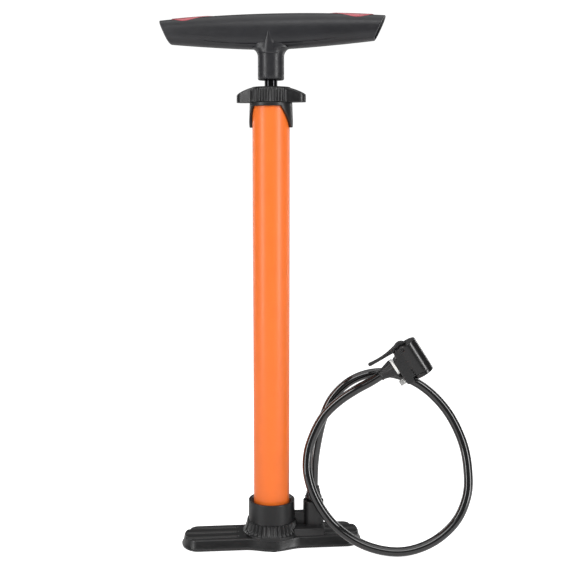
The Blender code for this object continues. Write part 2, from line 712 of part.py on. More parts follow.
def main():
    clear_scene()
    charcoal = material("charcoal_plastic", (0.026, 0.025, 0.027), 0.45)
    grey = material("grey_plastic", (0.05, 0.05, 0.053), 0.4)
    gloss = material("black_gloss", (0.012, 0.012, 0.013), 0.2)
    rubber = material("black_rubber", (0.02, 0.02, 0.02), 0.6)
    red = material("red_plastic", (0.55, 0.02, 0.02), 0.4)
    white = material("white_plastic", (0.75, 0.75, 0.73), 0.4)
    paint = material("orange_paint", (0.9, 0.22, 0.04), 0.2)
    steel = material("polished_steel", (0.3, 0.3, 0.31), 0.15, 1.0)
    zinc = material("zinc_steel", (0.6, 0.6, 0.6), 0.35, 1.0)
    brass = material("brass", (0.7, 0.5, 0.2), 0.3, 1.0)
    make_foot(charcoal, rubber, zinc)
    make_check_valve(brass, rubber, zinc)
    make_outlet(brass, charcoal)
    make_barrel(paint, rubber)
    make_cap(charcoal, rubber, grey)
    turn = make_piston(grey, rubber, steel)
    make_handle(turn, grey, red, zinc)
    make_hose(gloss)
    head = add_empty("head_frame", HEAD_PLACE)
    make_head_body(head, gloss)
    make_lever(head, gloss, zinc)
    make_head_fittings(head, gloss, white, rubber, brass, zinc)


main()
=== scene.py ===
"""Looks of the floor bike pump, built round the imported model.

Metres, +Z up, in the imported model's frame: the barrel's axis is Z, the foot bar runs along X and the front
is -Y.
"""

import json
import math

import bmesh
import bpy
import numpy as np
from mathutils import Matrix, Vector


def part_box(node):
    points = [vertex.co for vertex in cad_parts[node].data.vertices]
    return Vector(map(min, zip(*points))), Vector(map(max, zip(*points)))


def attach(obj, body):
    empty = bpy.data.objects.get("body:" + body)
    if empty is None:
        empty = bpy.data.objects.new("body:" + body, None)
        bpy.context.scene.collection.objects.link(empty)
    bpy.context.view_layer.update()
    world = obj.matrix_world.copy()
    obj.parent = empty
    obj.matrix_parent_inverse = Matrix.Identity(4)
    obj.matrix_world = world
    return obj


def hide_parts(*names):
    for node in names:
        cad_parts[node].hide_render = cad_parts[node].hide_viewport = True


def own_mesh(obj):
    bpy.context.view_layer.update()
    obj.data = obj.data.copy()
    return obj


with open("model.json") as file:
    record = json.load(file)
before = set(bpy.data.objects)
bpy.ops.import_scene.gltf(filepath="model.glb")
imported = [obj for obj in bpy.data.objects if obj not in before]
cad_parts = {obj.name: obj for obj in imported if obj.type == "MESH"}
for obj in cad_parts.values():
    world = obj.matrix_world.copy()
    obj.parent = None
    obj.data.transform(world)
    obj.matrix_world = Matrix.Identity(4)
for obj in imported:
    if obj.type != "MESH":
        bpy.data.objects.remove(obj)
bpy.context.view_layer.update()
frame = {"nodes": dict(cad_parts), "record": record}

# Camera and light
CAMERA_PLACE = (-0.0826, -1.0197, 0.4127)
CAMERA_AIM = (0.0933, 0.9871, -0.1297)
CAMERA_LENS = 62.6
ROOM_GLOW = 0.16
FLOOR_GLOW = 0.9
FLOOR_BOUNCE = 0.08
LIGHT_AIM_Z = 0.28
# name, azimuth from the camera's side, distance, height, (width, height), radiance
LIGHTS = [
    ("left strip", -56, 1.4, 0.5, (0.3, 1.7), 7.5),
    ("right strip", 50, 1.4, 0.5, (0.3, 1.7), 8.5),
    ("left back strip", -140, 1.5, 0.6, (0.2, 1.6), 4),
    ("right back strip", 135, 1.5, 0.6, (0.2, 1.6), 4),
    ("front", -6, 1.7, 1.75, (1.5, 0.8), 3.2),
    ("overhead", 0, 0.05, 2.0, (1.8, 1.8), 1.2),
]

# Turns of the handle and the cap about the barrel
HANDLE_YAW = math.radians(-15.4)
CAP_YAW = math.radians(-20.4)

# Foot
BAR_HALF_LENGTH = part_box("base_foot")[1].x
BAR_HALF_WIDTH = 0.0252
BAR_END_RUN = 0.018
BAR_BOTTOM = 0.0007
BAR_TOP = 0.0118
BAR_EDGE_STEPS = 5
LANE_WIDTH = 0.013
LANE_SHIFT = 0.0007
GROOVE_DEPTH = 0.0026
GROOVES_FROM = 0.0355
HUB_R = 0.0325
BULGE_REACH = 0.031
HUB_TOP = 0.014
SKIRT_TOP = 0.026
SKIRT_R = 0.0302
SKIRT_TOP_R = 0.0262
FLUTES = 38
FLUTE_DEPTH = 0.0015
COLLAR_R = 0.0248
COLLAR_TOP = 0.0475
TOWER_X = 0.045
TOWER_R = 0.011
TOWER_TOP = 0.045
HOUSING_TOP = 0.0195
HOUSING_HALF_WIDTH = 0.0195
HOUSING_END_X = 0.0555
WEB_TOP = 0.0328
SPRING_R = 0.0028
SPRING_WIRE_R = 0.00035

# Barrel, cap and rod
BARREL_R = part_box("barrel")[1].x
BARREL_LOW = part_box("barrel")[0].z
BARREL_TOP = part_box("barrel")[1].z
BARREL_BORE_R = 0.0178
TOP_COLLAR_R = 0.0217
TOP_COLLAR_Z = 0.4617
TAB_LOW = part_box("top_collar")[0].z
CAP_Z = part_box("wing_cap")[0].z
CAP_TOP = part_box("wing_cap")[1].z
CAP_R = 0.0215
WING_HALF_SPAN = 0.036
ROD_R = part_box("rod")[1].x

# Handle
STEM_R = 0.0133
STEM_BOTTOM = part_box("handle_body")[0].z
HANDLE_TOP_HALF = 0.1174
HANDLE_BOTTOM_HALF = 0.101
HANDLE_TOP = 0.5538
HANDLE_BOTTOM = 0.5182
HANDLE_TIP_DROP = 0.0044
HANDLE_TIP_RISE = 0.0069
HANDLE_HALF_DEPTH = 0.0145
HANDLE_TIP_HALF_DEPTH = 0.012
HANDLE_ROUNDNESS = 0.8
HANDLE_WALL = 0.0022
PAD_FROM = 0.058
PAD_TO = 0.105

# Hose and head
HOSE_R = 0.00485
HOSE_ROUTE = [
    (TOWER_X, 0.0, 0.0608),
    (0.046, 0.0005, 0.087),
    (0.0495, 0.002, 0.1095),
    (0.055, 0.0025, 0.1325),
    (0.065, 0.0015, 0.1555),
    (0.083, 0.0, 0.1735),
    (0.106, -0.0015, 0.1825),
    (0.13, -0.004, 0.182),
    (0.1535, -0.0075, 0.173),
    (0.173, -0.0125, 0.158),
    (0.1885, -0.021, 0.138),
    (0.1995, -0.0305, 0.112),
    (0.203, -0.0395, 0.0855),
    (0.2005, -0.047, 0.06),
    (0.187, -0.0535, 0.0345),
    (0.161, -0.057, 0.0145),
    (0.1285, -0.056, 0.0056),
    (0.094, -0.0485, 0.0105),
    (0.0645, -0.037, 0.0275),
    (0.0455, -0.0285, 0.0525),
    (0.0365, -0.022, 0.0785),
    (0.037, -0.016, 0.101),
    (0.044, -0.013, 0.122),
    (0.055, -0.011, 0.1405),
    (0.0705, -0.0125, 0.156),
    (0.0878, -0.0158, 0.1685),
]
HEAD_CORNER = Vector((0.1472, -0.022, 0.2249))
HEAD_DOWN = Vector((0.5386, -0.0509, -0.841)).normalized()
HEAD_OUT = Vector((0.8373, -0.0792, 0.541)).normalized()
HEAD_LENGTH = 0.034
BLOCK_LENGTH = 0.0386
HEAD_HALF_DEPTH = 0.0085
BORE_AXIS = -0.0115
HEAD_CYLINDER_R = 0.0115
HEAD_BORE_R = 0.008
BARB_X = 0.016
BOOT_FAR = -0.0517
BOOT_NEAR = -0.0353
COLLAR_NEAR = -0.0323
LEVER_X = 0.0033
LEVER_Y = -0.0175
LEVER_HUB_R = 0.0077
LEVER_TIP_Y = -0.0559
LEVER_HALF_WIDTH = 0.0045
MOUTH_CAP_END = 0.0384
PLUG_X = 0.0345


# Materials

def add_node(tree, kind, **values):
    node = tree.nodes.new(kind)
    for name, value in values.items():
        setattr(node, name, value)
    return node


def noise(tree, scale, detail=3.0, stretch=None):
    """A noise pattern fixed to the piece, scale per metre, stretched along one axis if asked."""
    coordinates = add_node(tree, "ShaderNodeTexCoord")
    pattern = add_node(tree, "ShaderNodeTexNoise")
    pattern.inputs["Scale"].default_value = scale
    pattern.inputs["Detail"].default_value = detail
    source = coordinates.outputs["Object"]
    if stretch:
        mapping = add_node(tree, "ShaderNodeMapping")
        mapping.inputs["Scale"].default_value = stretch
        tree.links.new(source, mapping.inputs["Vector"])
        source = mapping.outputs["Vector"]
    tree.links.new(source, pattern.inputs["Vector"])
    return pattern.outputs["Fac"]


def spread(tree, source, low, high, start=0.3, end=0.7):
    node = add_node(tree, "ShaderNodeMapRange")
    node.inputs["From Min"].default_value = start
    node.inputs["From Max"].default_value = end
    node.inputs["To Min"].default_value = low
    node.inputs["To Max"].default_value = high
    tree.links.new(source, node.inputs["Value"])
    return node.outputs["Result"]


def blend_colors(tree, factor, first, second):
    node = add_node(tree, "ShaderNodeMix", data_type="RGBA")
    tree.links.new(factor, node.inputs["Factor"])
    for socket, value in ((node.inputs["A"], first), (node.inputs["B"], second)):
        if isinstance(value, bpy.types.NodeSocket):
            tree.links.new(value, socket)
        else:
            socket.default_value = (*value, 1)
    return node.outputs["Result"]


def surface(name, color, roughness, tone=0.12, rough_spread=0.06, grain=2500, bump=0.15, depth=0.00003,
            metallic=0.0, coat=0.0, coat_roughness=0.04, edge_highlight=0.0, stretch=None, patch=45):
    """A procedural finish: uneven tone and gloss, a fine grain in the relief, and a painted highlight that
    pales convex edges and rims.
    """
    made = bpy.data.materials.new(name)
    made.use_nodes = True
    tree = made.node_tree
    shader = tree.nodes["Principled BSDF"]
    shader.inputs["Metallic"].default_value = metallic
    shader.inputs["Coat Weight"].default_value = coat
    shader.inputs["Coat Roughness"].default_value = coat_roughness
    dark = [channel * (1 - tone) for channel in color]
    light = [min(1.0, channel * (1 + tone)) for channel in color]
    shade = blend_colors(tree, spread(tree, noise(tree, patch), 0, 1), dark, light)
    # Painted highlight: where the mesh's pointiness is high, on convex edges and rims, the colour is mixed
    # towards a paler tint.
    if edge_highlight:
        geometry = add_node(tree, "ShaderNodeNewGeometry")
        edge = spread(tree, geometry.outputs["Pointiness"], 0, edge_highlight, 0.51, 0.6)
        pale = [min(1.0, channel * 1.7 + 0.02) for channel in color]
        shade = blend_colors(tree, edge, shade, pale)
    tree.links.new(shade, shader.inputs["Base Color"])
    gloss = spread(tree, noise(tree, patch * 5), roughness - rough_spread, roughness + rough_spread)
    tree.links.new(gloss, shader.inputs["Roughness"])
    relief = add_node(tree, "ShaderNodeBump")
    relief.inputs["Strength"].default_value = bump
    relief.inputs["Distance"].default_value = depth
    tree.links.new(noise(tree, grain, 2.0, stretch), relief.inputs["Height"])
    tree.links.new(relief.outputs["Normal"], shader.inputs["Normal"])
    return made


def make_looks():
    # The black plastics get a painted highlight on their convex edges and rims, set by the edge strength
    # passed to surface.
    return {
        "charcoal_plastic": surface(
            "charcoal plastic", (0.007, 0.007, 0.0075), 0.36, edge_highlight=0.6, grain=3500, bump=0.25
        ),
        "handle_plastic": surface(
            "handle plastic", (0.015, 0.015, 0.0175), 0.36, edge_highlight=0.4, grain=4000, bump=0.18
        ),
        "red_inlay": surface(
            "red inlay", (0.42, 0.05, 0.07), 0.3, grain=3000, bump=0.2, coat=1.0, coat_roughness=0.2
        ),
        "orange_paint": surface(
            "orange paint", (0.95, 0.183, 0.021), 0.4, tone=0.03, rough_spread=0.03,
            grain=420, bump=0.12, coat=0.12, coat_roughness=0.25,
        ),
        # Painted shade: the rod's near-black reflectance stands in for the dark surroundings that a chrome
        # rod mirrors.
        "rod_chrome": surface(
            "rod chrome painted dark", (0.032, 0.032, 0.034), 0.07, tone=0.04, rough_spread=0.02, metallic=1.0,
            grain=900, bump=0.1, depth=0.00001, stretch=(0.2, 0.2, 12),
        ),
        "hose_rubber": surface(
            "hose rubber", (0.003, 0.003, 0.0034), 0.12, grain=1500, bump=0.12, coat=1.0
        ),
        "head_gloss": surface(
            "head plastic", (0.003, 0.003, 0.0035), 0.24, edge_highlight=0.3, grain=3500, bump=0.12, coat=0.3
        ),
        "boot_rubber": surface("boot rubber", (0.012, 0.012, 0.013), 0.42, grain=3500, bump=0.25),
        # Painted highlight: this near-white colour, used on the head's collar ring, stands in for the shine
        # of a bare metal nut.
        "white_plastic": surface("collar white painted highlight", (0.78, 0.78, 0.76), 0.3, tone=0.04, grain=2500, bump=0.1),
        "bush_plastic": surface("bush plastic", (0.1, 0.1, 0.1), 0.4, grain=3000, bump=0.15),
        "rubber_pad": surface("pad rubber", (0.02, 0.02, 0.02), 0.6, grain=2000, bump=0.35),
        "zinc_steel": surface(
            "zinc steel", (0.62, 0.62, 0.61), 0.32, tone=0.08, metallic=1.0,
            grain=1800, bump=0.2, stretch=(1, 1, 8),
        ),
        "brass": surface("brass", (0.72, 0.5, 0.2), 0.3, tone=0.08, metallic=1.0, grain=1800, bump=0.2),
    }


looks = make_looks()


# Mesh tools

def to_object(name, bm, angle=35):
    bmesh.ops.recalc_face_normals(bm, faces=bm.faces)
    mesh = bpy.data.meshes.new(name)
    bm.to_mesh(mesh)
    bm.free()
    mesh.shade_smooth()
    mesh.set_sharp_from_angle(angle=math.radians(angle))
    made = bpy.data.objects.new(name, mesh)
    bpy.context.scene.collection.objects.link(made)
    return made


def finish_piece(made, slot, body, *nodes):
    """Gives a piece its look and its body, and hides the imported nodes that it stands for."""
    made.data.materials.clear()
    made.data.materials.append(looks[slot])
    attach(made, body)
    if nodes:
        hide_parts(*nodes)
    return made


def rows_to_bmesh(rows, ring=False, caps=True):
    """A skin over rows of points, each row a closed loop. A ring joins the last row to the first."""
    bm = bmesh.new()
    made = [[bm.verts.new(point) for point in row] for row in rows]
    following = made[1:] + (made[:1] if ring else [])
    for row, after in zip(made, following):
        for i in range(len(row)):
            j = (i + 1) % len(row)
            bm.faces.new((row[i], row[j], after[j], after[i]))
    if caps and not ring:
        bm.faces.new(made[0])
        bm.faces.new(made[-1])
    return bm


def rounded(corners, arc=5):
    """A closed or open outline with its corners rounded. Each corner is (a, b, radius)."""
    points = []
    count = len(corners)
    for i, (a, b, radius) in enumerate(corners):
        here = Vector((a, b))
        if radius == 0:
            points.append(here)
            continue
        before = Vector(corners[i - 1][:2]) - here
        after = Vector(corners[(i + 1) % count][:2]) - here
        half = before.angle(after) / 2
        run = min(radius / math.tan(half), before.length * 0.49, after.length * 0.49)
        start = here + before.normalized() * run
        end = here + after.normalized() * run
        for step in range(arc + 1):
            share = step / arc
            points.append(start * (1 - share) ** 2 + here * 2 * share * (1 - share) + end * share**2)
    return points


def turned_rows(profile, steps, radius_at=None):
    """Rows round Z for a (radius, height) profile. radius_at(radius, height, angle) may change a radius."""
    rows = []
    for step in range(steps):
        angle = math.tau * step / steps
        row = []
        for radius, height in profile:
            if radius_at:
                radius = radius_at(radius, height, angle)
            row.append((radius * math.cos(angle), radius * math.sin(angle), height))
        rows.append(row)
    return rows


def turned(name, corners, steps=96, radius_at=None, arc=5):
    """A turned ring from a closed profile of (radius, height, corner radius)."""
    profile = [tuple(point) for point in rounded(corners, arc)]
    return to_object(name, rows_to_bmesh(turned_rows(profile, steps, radius_at), ring=True))


def apply_modifiers(made):
    graph = bpy.context.evaluated_depsgraph_get()
    mesh = bpy.data.meshes.new_from_object(made.evaluated_get(graph))
    made.modifiers.clear()
    made.data = mesh


def combine(made, others, operation):
    """Booleans with other objects, which are removed afterwards."""
    for other in others:
        modifier = made.modifiers.new(other.name, "BOOLEAN")
        modifier.operation = operation
        modifier.object = other
    bpy.context.view_layer.update()
    apply_modifiers(made)
    for other in others:
        bpy.data.objects.remove(other)


def move(made, place):
    made.data.transform(place)
    return made


def remeshed(made, voxel, passes):
    """The same solid in an even mesh with softly rounded edges."""
    remesh = made.modifiers.new("remesh", "REMESH")
    remesh.mode = "VOXEL"
    remesh.voxel_size = voxel
    smooth = made.modifiers.new("smooth", "SMOOTH")
    smooth.factor = 0.5
    smooth.iterations = passes
    bpy.context.view_layer.update()
    apply_modifiers(made)
    made.data.shade_smooth()


def box_object(name, low, high):
    rows = []
    for x in (low[0], high[0]):
        bottom = [(x, low[1], low[2]), (x, high[1], low[2])]
        rows.append([*bottom, (x, high[1], high[2]), (x, low[1], high[2])])
    return to_object(name, rows_to_bmesh(rows))


def disc_object(name, radius, low, high, steps=48):
    rows = []
    for height in (low, high):
        angles = np.linspace(0, math.tau, steps, endpoint=False)
        rows.append([(radius * math.cos(angle), radius * math.sin(angle), height) for angle in angles])
    return to_object(name, rows_to_bmesh(rows))


# Foot

def bar_edge():
    """The bar's plan outline, with half-elliptical ends and a swell at the hub.

    Each point is (x on the spine, x, y, lean), where lean is how far the side slopes in there.
    """
    straight = BAR_HALF_LENGTH - BAR_END_RUN
    points = []
    for side in (1, -1):
        for turn in np.linspace(-90, 90, 45):
            angle = math.radians(turn)
            x = side * (straight + BAR_END_RUN * math.cos(angle))
            points.append((side * straight, x, side * BAR_HALF_WIDTH * math.sin(angle), 1))
        for share in np.linspace(0, 1, 160)[1:-1]:
            x = side * straight * (1 - 2 * share)
            swell = 0.5 + 0.5 * math.cos(math.pi * min(1.0, abs(x) / BULGE_REACH))
            half = BAR_HALF_WIDTH + (HUB_R - BAR_HALF_WIDTH) * swell
            points.append((x, x, side * half, 1 - 0.65 * swell))
    return points


def bar_row(edge, inset, height_at):
    """One row round the bar, drawn in from its outline by the inset."""
    row = []
    for spine, x, y, lean in edge:
        grow = 1 - inset * lean / BAR_HALF_WIDTH
        place = (spine + (x - spine) * grow, y * grow)
        row.append((*place, height_at(*place)))
    return row


def bar_height(x, y):
    """The top of the bar: rounded ridges along it, parted by narrow grooves that end short of the hub."""
    fan = 1 + 0.12 * min(1.0, max(0.0, (abs(x) - GROOVES_FROM) / 0.06))
    lane = (y - LANE_SHIFT) / (LANE_WIDTH * fan)
    off = abs(lane - round(lane)) * 2
    groove = math.exp(-((off / 0.25) ** 2)) if abs(round(lane)) <= 1 else 0.0
    crown = 0.35 * (1 - off) ** 2 if abs(round(lane)) <= 1 else 0.35 * (1 - min(1.0, off)) ** 2
    fade = min(1.0, max(0.0, (abs(x) - GROOVES_FROM) / 0.0025))
    fade = fade * fade * (3 - 2 * fade)
    return BAR_TOP - GROOVE_DEPTH * fade * (groove + 0.4 * crown)


def foot_bar():
    edge = bar_edge()
    walls = [(0.0014, BAR_BOTTOM + 0.0002), (0.0002, BAR_BOTTOM + 0.0001), (0, BAR_BOTTOM + 0.0006)]
    walls += [(0, 0.002), (0.0004, 0.0023), (0.0013, 0.0025), (0.0016, 0.003), (0.0026, 0.0063)]
    walls.append((0.0036, BAR_TOP - 0.0022))
    rows = [bar_row(edge, inset, lambda x, y, height=height: height) for inset, height in walls]
    for step in range(1, BAR_EDGE_STEPS + 1):
        turn = math.pi / 2 * step / BAR_EDGE_STEPS
        drop = 0.0022 * (1 - math.sin(turn))
        inset = 0.0036 + 0.0024 * (1 - math.cos(turn))
        rows.append(bar_row(edge, inset, lambda x, y, drop=drop: bar_height(x, y) - drop))
    for share in np.linspace(0, 1, 60)[1:]:
        row = []
        for spine, x, y, lean in edge:
            grow = (1 - 0.006 * lean / BAR_HALF_WIDTH) * (1 - share) + 0.004 * share
            place = (spine + (x - spine) * grow, y * grow)
            row.append((*place, bar_height(*place)))
        rows.append(row)
    return to_object("foot_bar", rows_to_bmesh(rows), 60)


def skirt_radius(radius, height, angle):
    """The fluted skirt: fins run down the cone, except on the smooth stretch beside the left bar."""
    if not HUB_TOP + 0.0004 < height < SKIRT_TOP - 0.0004:
        return radius
    share = (height - HUB_TOP) / (SKIRT_TOP - HUB_TOP)
    off = abs(math.degrees(angle) - 180)
    depth = FLUTE_DEPTH * min(1.0, 4 * share) * min(1.0, max(0.0, (off - 12) / 6))
    wave = 0.5 + 0.5 * math.cos(FLUTES * angle)
    return radius - depth * (1 - wave**0.8)


def foot_hub():
    skirt = []
    for share in np.linspace(0.04, 0.98, 14):
        bow = 0.0006 * math.sin(math.pi * share)
        radius = SKIRT_R + (SKIRT_TOP_R - SKIRT_R) * share - bow
        skirt.append((radius, HUB_TOP + (SKIRT_TOP - HUB_TOP) * share, 0))
    corners = [
        (0.004, 0.0009, 0),
        (0.027, 0.0009, 0),
        (0.028, 0.009, 0),
        (SKIRT_R + 0.0006, BAR_TOP - 0.0008, 0),
        (SKIRT_R + 0.0006, HUB_TOP, 0.0006),
        *skirt,
        (COLLAR_R, SKIRT_TOP, 0.0004),
        (COLLAR_R - 0.0002, COLLAR_TOP, 0.001),
        (0.0226, COLLAR_TOP, 0.0006),
        (0.0206, COLLAR_TOP - 0.002, 0.0004),
        (0.0206, 0.0446, 0.0004),
        (BARREL_R + 0.0003, 0.0436, 0),
        (BARREL_R + 0.0003, 0.0246, 0),
        (0.004, 0.0246, 0),
    ]
    return turned("foot_hub", corners, FLUTES * 10, skirt_radius)


def foot_tower():
    corners = [
        (0.001, 0.004, 0),
        (TOWER_R + 0.0003, 0.004, 0),
        (TOWER_R, TOWER_TOP, 0.0007),
        (0.0091, TOWER_TOP, 0.0004),
        (0.0087, TOWER_TOP - 0.002, 0.0003),
        (0.001, TOWER_TOP - 0.002, 0),
    ]
    return move(turned("foot_tower", corners, 96), Matrix.Translation((TOWER_X, 0, 0)))


def foot_web():
    """The rib that joins the collar and the tower."""
    rows = []
    for x in np.linspace(0.0212, TOWER_X, 10):
        rows.append([(x, y, z) for y, z in rounded([
            (-0.0046, 0.008, 0), (0.0046, 0.008, 0), (0.004, WEB_TOP, 0.0012), (-0.004, WEB_TOP, 0.0012),
        ], 4)])
    return to_object("foot_web", rows_to_bmesh(rows))


def foot_block():
    """The valve housing under the tower."""
    rows = []
    half = HOUSING_HALF_WIDTH
    levels = [(0, 0.008), (0, HOUSING_TOP - 0.0012), (0.0002, HOUSING_TOP - 0.0006)]
    levels += [(0.0006, HOUSING_TOP - 0.0002), (0.0012, HOUSING_TOP)]
    for inset, height in levels:
        outline = rounded([
            (0.0225, inset - half, 0), (HOUSING_END_X - inset, inset - half, 0.0025),
            (HOUSING_END_X - inset, half - inset, 0.0025), (0.0225, half - inset, 0),
        ], 6)
        rows.append([(x, y, height) for x, y in outline])
    return to_object("foot_block", rows_to_bmesh(rows))


def make_foot():
    finish_piece(foot_bar(), "charcoal_plastic", "frame", "base_foot")
    for made in (foot_hub(), foot_tower(), foot_web(), foot_block()):
        finish_piece(made, "charcoal_plastic", "frame")


def make_spring():
    """The check valve's coil spring, built at one fixed length, though the real one shortens as the valve's
    disc drops on it.
    """
    low, high = (corner.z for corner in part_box("valve_spring"))
    wire = SPRING_WIRE_R
    turns = 5
    rows = []
    for step in range(turns * 36 + 1):
        share = step / (turns * 36)
        angle = math.tau * turns * share
        out = Vector((math.cos(angle), math.sin(angle), 0))
        centre = out * SPRING_R + Vector((0, 0, low + wire + (high - low - 2 * wire) * share))
        row = []
        for turn in np.linspace(0, math.tau, 12, endpoint=False):
            row.append(centre + wire * (math.cos(turn) * out + Vector((0, 0, math.sin(turn)))))
        rows.append(row)
    spring = to_object("spring_coil", rows_to_bmesh(rows))
    finish_piece(spring, "zinc_steel", "frame", "valve_spring")
    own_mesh(spring)


# Barrel, cap and rod

def make_barrel():
    corners = [
        (BARREL_BORE_R, BARREL_LOW, 0.0002), (BARREL_R, BARREL_LOW, 0.0004),
        (BARREL_R, BARREL_TOP, 0.0004), (BARREL_BORE_R, BARREL_TOP, 0.0002),
    ]
    finish_piece(turned("barrel_tube", corners, 160), "orange_paint", "frame", "barrel")


def top_collar():
    """A ring whose lower edge drops into a tapering tab on each side."""
    inner = BARREL_R + 0.0005
    rows = []
    for step in range(360):
        off = abs((step + 90) % 180 - 90)
        drop = min(1.0, max(0.0, (46 - off) / 42))
        low = TOP_COLLAR_Z - drop * (TOP_COLLAR_Z - TAB_LOW)
        foot = TOP_COLLAR_R + 0.0009 * drop
        angle = math.radians(step)
        section = rounded([
            (inner, low, 0.0003), (foot, low, 0.0007), (TOP_COLLAR_R, CAP_Z - 0.0003, 0.0005),
            (inner, CAP_Z - 0.0003, 0.0003),
        ], 3)
        rows.append([(r * math.cos(angle), r * math.sin(angle), z) for r, z in section])
    return to_object("top_collar_ring", rows_to_bmesh(rows, ring=True), 50)


def wing_bar():
    """Both wings as one bar, arched down to the tips, with rounded upper edges."""
    rows = []
    for x in np.linspace(-WING_HALF_SPAN, WING_HALF_SPAN, 81):
        reach = abs(x) / WING_HALF_SPAN
        tip = math.sqrt(max(0.0, 1 - max(0.0, (abs(x) + 0.0058 - WING_HALF_SPAN) / 0.0062) ** 2))
        half = (0.0115 - 0.005 * reach) * max(tip, 0.3)
        top = CAP_TOP - 0.0002 - 0.0073 * max(0.0, (reach - 0.45) / 0.55) ** 1.5
        section = rounded([
            (-half, CAP_Z, 0.0006), (half, CAP_Z, 0.0006), (half, top, 0.0018), (-half, top, 0.0018),
        ], 5)
        rows.append([(x, y, z) for y, z in section])
    return to_object("wing_bar", rows_to_bmesh(rows), 50)


def grip_radius(radius, height, angle):
    """Upright grip ribs round the cap's middle."""
    if radius < 0.0208 or height > CAP_TOP - 0.0035:
        return radius
    return radius - 0.0006 * (0.5 - 0.5 * math.cos(40 * angle)) ** 2


def make_cap():
    yaw = Matrix.Rotation(CAP_YAW, 4, "Z")
    finish_piece(move(top_collar(), yaw), "charcoal_plastic", "frame", "top_collar")
    corners = [
        (0.0174, CAP_Z, 0.0003), (CAP_R, CAP_Z, 0.0006), (CAP_R, CAP_TOP - 0.0042, 0),
        (0.0208, CAP_TOP - 0.0012, 0.0015), (0.0192, CAP_TOP, 0.0012), (0.0072, CAP_TOP, 0.0004),
        (0.0072, 0.479, 0), (0.01, 0.479, 0), (0.01, 0.476, 0), (0.0174, 0.476, 0),
    ]
    cap = turned("cap_body", corners, 400, grip_radius)
    bore = disc_object("cap_bore", 0.0176, CAP_Z - 0.003, 0.476)
    hole = disc_object("cap_hole", 0.0075, 0.47, CAP_TOP + 0.003)
    wings = wing_bar()
    combine(wings, [bore, hole], "DIFFERENCE")
    finish_piece(move(cap, yaw), "charcoal_plastic", "frame", "wing_cap")
    finish_piece(move(wings, yaw), "charcoal_plastic", "frame")


def make_rod():
    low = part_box("rod")[0].z
    corners = [
        (0.0005, low, 0), (0.0039, low, 0.0005), (0.0039, 0.0419, 0), (ROD_R, 0.0419, 0.0005),
        (ROD_R, 0.515, 0.0005), (0.0039, 0.515, 0), (0.0039, 0.5226, 0.0005), (0.0005, 0.5226, 0),
    ]
    finish_piece(turned("rod_bar", corners, 96), "rod_chrome", "handle", "rod")


# Handle

def handle_section(share, angle, shrink=0.0):
    """A point on the handle's skin. Share runs from tip to tip, -1 to 1. Angle goes round the section."""
    top = HANDLE_TOP - HANDLE_TIP_DROP * share**2 - shrink
    low = HANDLE_BOTTOM + HANDLE_TIP_RISE * abs(share) ** 1.5 + shrink
    depth = HANDLE_HALF_DEPTH + (HANDLE_TIP_HALF_DEPTH - HANDLE_HALF_DEPTH) * share**2 - shrink
    across = math.copysign(abs(math.cos(angle)) ** HANDLE_ROUNDNESS, math.cos(angle))
    up = math.copysign(abs(math.sin(angle)) ** HANDLE_ROUNDNESS, math.sin(angle))
    height = (top + low) / 2 + up * (top - low) / 2
    rise = (height - HANDLE_BOTTOM) / (HANDLE_TOP - HANDLE_BOTTOM)
    length = HANDLE_BOTTOM_HALF + (HANDLE_TOP_HALF - HANDLE_BOTTOM_HALF) * rise
    return Vector((share * length, across * depth, height))


def seam_dent(point):
    """How far the skin lies in at the seam, which runs low on each side from near the stem to the tip."""
    along = abs(point.x)
    seam = 0.5235 + 0.0045 * (along / 0.07) ** 2
    fade = min(1.0, max(0.0, (0.071 - along) / 0.006))
    below = seam - point.z
    if below < -0.0007 or fade == 0:
        return 0.0
    line = math.exp(-((below / 0.0006) ** 2))
    step = min(1.0, max(0.0, below / 0.0004)) * 0.45
    return fade * 0.0011 * max(line, step)


def handle_row(share, shrink=0.0, count=150):
    row = []
    for angle in np.linspace(0, math.tau, count, endpoint=False):
        point = handle_section(share, angle, shrink)
        if shrink < HANDLE_WALL / 2:
            dent = seam_dent(point)
            point.y -= math.copysign(min(dent, abs(point.y)), point.y)
        row.append(point)
    return row


def handle_shell():
    """The handle's hollow bar, open at both slanted ends."""
    inner = [0.72, 0.8, 0.88, 0.95, 0.993]
    left = [handle_row(-share, HANDLE_WALL) for share in inner]
    rim = [(0.9985, HANDLE_WALL - 0.0002), (1.0, HANDLE_WALL - 0.0006), (1.0, 0.0006), (0.9985, 0.0001)]
    left += [handle_row(-share, shrink) for share, shrink in rim]
    body = [handle_row(share) for share in np.linspace(-0.994, 0.994, 170)]
    right = [handle_row(share, shrink) for share, shrink in reversed(rim)]
    right += [handle_row(share, HANDLE_WALL) for share in reversed(inner)]
    return to_object("handle_shell", rows_to_bmesh(left + body + right), 50)


def stem_loft():
    """The stem, which flares into the underside of the bar."""
    rows = []
    for height in [*np.linspace(STEM_BOTTOM + 0.001, 0.511, 6), *np.linspace(0.512, 0.5245, 14)]:
        rise = min(1.0, max(0.0, (height - 0.511) / 0.0085))
        reach = STEM_R + 0.0078 * (1 - math.sqrt(1 - rise**2))
        angles = np.linspace(0, math.tau, 96, endpoint=False)
        rows.append([(reach * math.cos(angle), STEM_R * math.sin(angle), height) for angle in angles])
    for inset in (0.0003, 0.0009):
        radius = STEM_R - inset
        angles = np.linspace(0, math.tau, 96, endpoint=False)
        height = STEM_BOTTOM + 0.001 - inset
        rows.insert(0, [(radius * math.cos(angle), radius * math.sin(angle), height) for angle in angles])
    return to_object("handle_stem", rows_to_bmesh(rows), 50)


